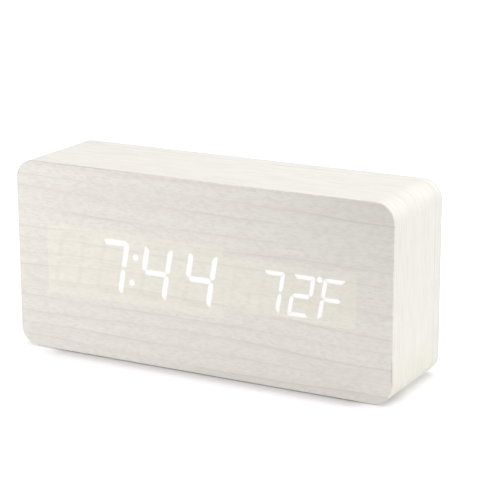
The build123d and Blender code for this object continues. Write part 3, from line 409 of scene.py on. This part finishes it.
def cellMaterial():
    low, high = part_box("aaa_cells")
    material, tree, shader = startMaterial(
        "cellSleeve", Coat_Weight=cellLook["coat"], Coat_Roughness=cellLook["coatRoughness"])
    place = restPlace(tree)
    along = apart(tree, place)
    fromInner = sums(tree, "SUBTRACT", along[0], low.x)
    fromOuter = sums(tree, "SUBTRACT", high.x, along[0])
    offMiddle = sums(tree, "ABSOLUTE", sums(tree, "SUBTRACT", along[2], (low.z + high.z) / 2))
    flipped = fromTo(tree, offMiddle, *cellLook["halfPitch"], 1.0, 0.0)  # the middle cell lies the other way
    straight = sums(tree, "SUBTRACT", 1.0, flipped)
    fromInner, fromOuter = sums(tree, "MULTIPLY", fromInner, straight), sums(tree, "MULTIPLY", fromOuter, flipped)
    fromNub = sums(tree, "ADD", fromInner, fromOuter)
    band = fromTo(tree, fromNub, *cellLook["bandEnds"], 1.0, 0.0)
    nubEnd = fromTo(tree, fromNub, *cellLook["nubEnds"], 1.0, 0.0)
    bare = sums(tree, "MAXIMUM", nubEnd, fromTo(tree, fromNub, *cellLook["flatEnds"]))
    scuffNoise = noise(tree, place, cellLook["scuffs"], cellLook["scuffDetail"])
    scuffs = fromTo(tree, scuffNoise, *midLevels, *cellLook["scuffShade"])
    sleeve = mixed(tree, band, opaque(cellLook["sleeve"]), opaque(cellLook["band"]))
    clean = mixed(tree, bare, sleeve, opaque(cellLook["steel"]))
    scuffed = addNode(tree, "ShaderNodeVectorMath", {0: clean, "Scale": scuffs}, operation="SCALE")
    tree.links.new(scuffed.outputs[0], shader.inputs["Base Color"])
    tree.links.new(bare, shader.inputs["Metallic"])
    sheen = fromTo(tree, scuffs, *cellLook["scuffShade"], *cellLook["roughness"])
    tree.links.new(sheen, shader.inputs["Roughness"])
    return material


dress(["aaa_cells"], cellMaterial())
print("boards and cells dressed")


# Coned springs at the flat ends of the cells, wound from round wire
springLook = {"wire": 0.5 * mm, "baseRadius": 3.4 * mm, "tipRadius": 1.9 * mm, "turns": 3.0, "closed": 0.5,
              "stepsPerTurn": 16, "roundness": 4, "smoothSteps": 6}


def windSprings():
    low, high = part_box("cell_springs")
    cellLow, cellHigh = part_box("aaa_cells")
    cellRadius = (cellHigh.y - cellLow.y) / 2
    axisY = (cellLow.y + cellHigh.y) / 2
    coils = ((high.x, -1, cellHigh.z - cellRadius),
             (low.x, 1, (cellLow.z + cellHigh.z) / 2),
             (high.x, -1, cellLow.z + cellRadius))
    length = high.x - (cellLow.x + cellLook["length"])
    wire, turns, closed = springLook["wire"], springLook["turns"], springLook["closed"]
    baseRadius, tipRadius = springLook["baseRadius"], springLook["tipRadius"]
    curve = bpy.data.curves.new("cellSprings", "CURVE")
    curve.dimensions = "3D"
    curve.bevel_depth = wire / 2
    curve.bevel_resolution = springLook["roundness"]
    curve.resolution_u = springLook["smoothSteps"]
    curve.use_fill_caps = True
    for footX, way, axisZ in coils:
        spline = curve.splines.new("NURBS")
        spline.points.add(int(turns * springLook["stepsPerTurn"]))
        for i, point in enumerate(spline.points):
            turn = i / springLook["stepsPerTurn"]
            climb = min(max((turn - closed) / (turns - 2 * closed), 0.0), 1.0)  # closed at both ends
            rise = wire / 2 + (length - wire) * climb
            radius = baseRadius + (tipRadius - baseRadius) * turn / turns
            angle = 2 * math.pi * turn
            sideways, up = radius * math.cos(angle), way * radius * math.sin(angle)
            point.co = (footX + way * rise, axisY + sideways, axisZ + up, 1.0)
        spline.order_u = 4
        spline.use_endpoint_u = True
    springs = intoScene("cellSprings", curve)
    curve.materials.append(metals["nickelPlate"])
    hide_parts("cell_springs")
    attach(springs, "case")


windSprings()
print("springs wound")


# Printed marks by the buttons: a ring for set, and arrows for up and down
markLook = {"ink": (0.62, 0.62, 0.62), "worn": 0.8, "roughness": (0.45, 0.60), "shine": 0.3,
            "speckle": (2600, 2600, 2600), "speckleLevels": (0.30, 0.70),
            "size": 2.0 * mm, "rise": 8.1 * mm, "thick": 0.04 * mm, "ring": 0.42 * mm, "ringSides": 24, "squat": 0.8}


def inkMaterial():
    material, tree, shader = startMaterial("markInk", Specular_IOR_Level=markLook["shine"])
    speckle = noise(tree, restPlace(tree), markLook["speckle"])
    worn = darker(markLook["ink"], markLook["worn"])
    colour = mixed(tree, fromTo(tree, speckle, *midLevels), opaque(markLook["ink"]), opaque(worn))
    tree.links.new(colour, shader.inputs["Base Color"])
    sheen = fromTo(tree, speckle, *markLook["speckleLevels"], *markLook["roughness"])
    tree.links.new(sheen, shader.inputs["Roughness"])
    return material


def printMark(name, button, outlines, ink):
    low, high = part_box(button)
    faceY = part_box("rear_cover")[1].y
    middle = Vector(((low.x + high.x) / 2, faceY, (low.z + high.z) / 2 + markLook["rise"]))
    levels = (0.0, markLook["thick"])
    shape = bmesh.new()
    corners, borders = {}, {}
    for outline in outlines:
        for x, z in outline:
            if (x, z) not in corners:
                corners[x, z] = [shape.verts.new(middle + Vector((x, level, z))) for level in levels]
        for layer in (0, 1):
            shape.faces.new([corners[point][layer] for point in outline])
        for side in zip(outline, outline[1:] + outline[:1]):
            borders.setdefault(frozenset(side), []).append(side)
    for sides in borders.values():
        if len(sides) == 1:  # walls only where no other outline joins on
            start, end = (corners[point] for point in sides[0])
            shape.faces.new((start[0], end[0], end[1], start[1]))
    bmesh.ops.recalc_face_normals(shape, faces=shape.faces)
    mesh = bpy.data.meshes.new(name)
    shape.to_mesh(mesh)
    shape.free()
    mark = intoScene(name, mesh)
    mesh.materials.append(ink)
    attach(mark, "case")


def ringOutlines(radius, inner, count):
    angles = [2 * math.pi * k / count for k in range(count)]
    rim = [(math.cos(a), math.sin(a)) for a in angles]
    return [[(radius * c, radius * s), (radius * d, radius * t), (inner * d, inner * t), (inner * c, inner * s)]
            for (c, s), (d, t) in zip(rim, rim[1:] + rim[:1])]


half = markLook["size"] / 2
tall = half * markLook["squat"]
ink = inkMaterial()
printMark("upMark", "up_button", [[(-half, -tall), (half, -tall), (0.0, tall)]], ink)
printMark("downMark", "down_button", [[(-half, tall), (0.0, -tall), (half, tall)]], ink)
printMark("setMark", "set_button", ringOutlines(half, half - markLook["ring"], markLook["ringSides"]), ink)
print("marks printed")


# Floor: white to the camera, and it keeps the clock's shadow, which painted light softens in front and painted shade
# deepens on the right
floorLook = {"size": 6.0, "paint": (0.90, 0.90, 0.90), "seenPaint": (0.70, 0.70, 0.70), "roughness": 0.9,
             "drop": 0.25 * mm}
frontFoot = {"low": (-55.0 * mm, -19.4 * mm), "high": (59.5 * mm, -17.0 * mm)}
rightFoot = {"low": (72.0 * mm, -8.0 * mm), "high": (75.0 * mm, 14.0 * mm)}
paintedFloorLight = [
    {**frontFoot, "reach": (0.0, 9.6 * mm), "lift": (0.03, 0.40)},
    {**frontFoot, "reach": (8.0 * mm, 22.0 * mm), "lift": (0.0, 0.20)},
    {**rightFoot, "reach": (0.0, 20.0 * mm), "lift": (-0.26, 0.0)},
]


def layFloor():
    mesh = bpy.data.meshes.new("floor")
    half, level = floorLook["size"] / 2, -floorLook["drop"]
    corners = [(-half, -half, level), (half, -half, level), (half, half, level), (-half, half, level)]
    mesh.from_pydata(corners, [], [(0, 1, 2, 3)])
    floor = intoScene("floor", mesh)
    material, tree, shader = startMaterial(
        "floorPaper", Roughness=floorLook["roughness"], Specular_IOR_Level=0.0, Emission_Color=(1.0, 1.0, 1.0, 1.0))
    seen = seenRays(tree)
    paint = mixed(tree, seen, opaque(floorLook["paint"]), opaque(floorLook["seenPaint"]))
    tree.links.new(paint, shader.inputs["Base Color"])
    place = restPlace(tree)
    # painted light: the floor glows to the camera more the further it lies from the clock, and less near its right
    # side
    lift = 0.0
    for part in paintedFloorLight:
        nearest = vectors(tree, "MAXIMUM", place, (*part["low"], 0.0))
        nearest = vectors(tree, "MINIMUM", nearest, (*part["high"], 0.0))
        away = vectors(tree, "DISTANCE", place, nearest, "Value")
        lift = sums(tree, "ADD", fromTo(tree, away, *part["reach"], *part["lift"]), lift)
    glow = sums(tree, "MULTIPLY", seen, sums(tree, "MAXIMUM", lift, 0.0))
    tree.links.new(glow, shader.inputs["Emission Strength"])
    mesh.materials.append(material)


layFloor()

# Soft studio light: an even white room, broad lamps overhead and on the right, a small one at the front left
roomLook = {"white": (1.0, 1.0, 1.0), "strength": 0.35, "seenStrength": 1.0}
lampAim = (0.0, 0.0, 0.035)
lampLooks = {
    "overhead": {"place": (0.20, 0.05, 1.2), "size": 1.0, "power": 9.2},
    "right": {"place": (1.2, 0.15, 0.4), "size": 0.8, "power": 4.4},
    "frontLeft": {"place": (-0.36, -0.32, 0.055), "size": 0.1, "power": 0.59},
}


def lightRoom():
    world = bpy.data.worlds.new("whiteRoom")
    bpy.context.scene.world = world
    world.use_nodes = True
    tree = world.node_tree
    background = tree.nodes["Background"]
    background.inputs["Color"].default_value = opaque(roomLook["white"])
    strength = fromTo(tree, seenRays(tree), 0.0, 1.0, roomLook["strength"], roomLook["seenStrength"])
    tree.links.new(strength, background.inputs["Strength"])


def hangLamp(name, look):
    lamp = bpy.data.lights.new(name, "AREA")
    lamp.shape = "SQUARE"
    lamp.size = look["size"]
    lamp.energy = look["power"]
    holder = intoScene(name, lamp)
    holder.location = look["place"]
    aim = Vector(lampAim) - holder.location
    holder.rotation_euler = aim.to_track_quat("-Z", "Y").to_euler()


lightRoom()
for name, look in lampLooks.items():
    hangLamp(name, look)
print("light and floor set")


# Camera where the photograph was taken from
cameraLook = {"place": (0.3182, -0.5659, 0.2173), "azimuth": 28.54, "elevation": 15.25, "roll": -0.21,
              "lens": 135.8, "sensor": 36.0, "clip": (0.01, 50.0)}


def setCamera():
    camera = bpy.data.cameras.new("camera")
    camera.lens = cameraLook["lens"]
    camera.sensor_width = cameraLook["sensor"]
    camera.clip_start, camera.clip_end = cameraLook["clip"]
    holder = intoScene("camera", camera)
    azimuth, elevation = math.radians(cameraLook["azimuth"]), math.radians(cameraLook["elevation"])
    turn = Matrix.Rotation(azimuth, 4, "Z") @ Matrix.Rotation(math.pi / 2 - elevation, 4, "X")
    roll = Matrix.Rotation(math.radians(cameraLook["roll"]), 4, "Z")
    holder.matrix_world = Matrix.Translation(cameraLook["place"]) @ turn @ roll
    bpy.context.scene.camera = holder


setCamera()
bpy.context.scene.view_settings.view_transform = "Standard"
print("camera set")
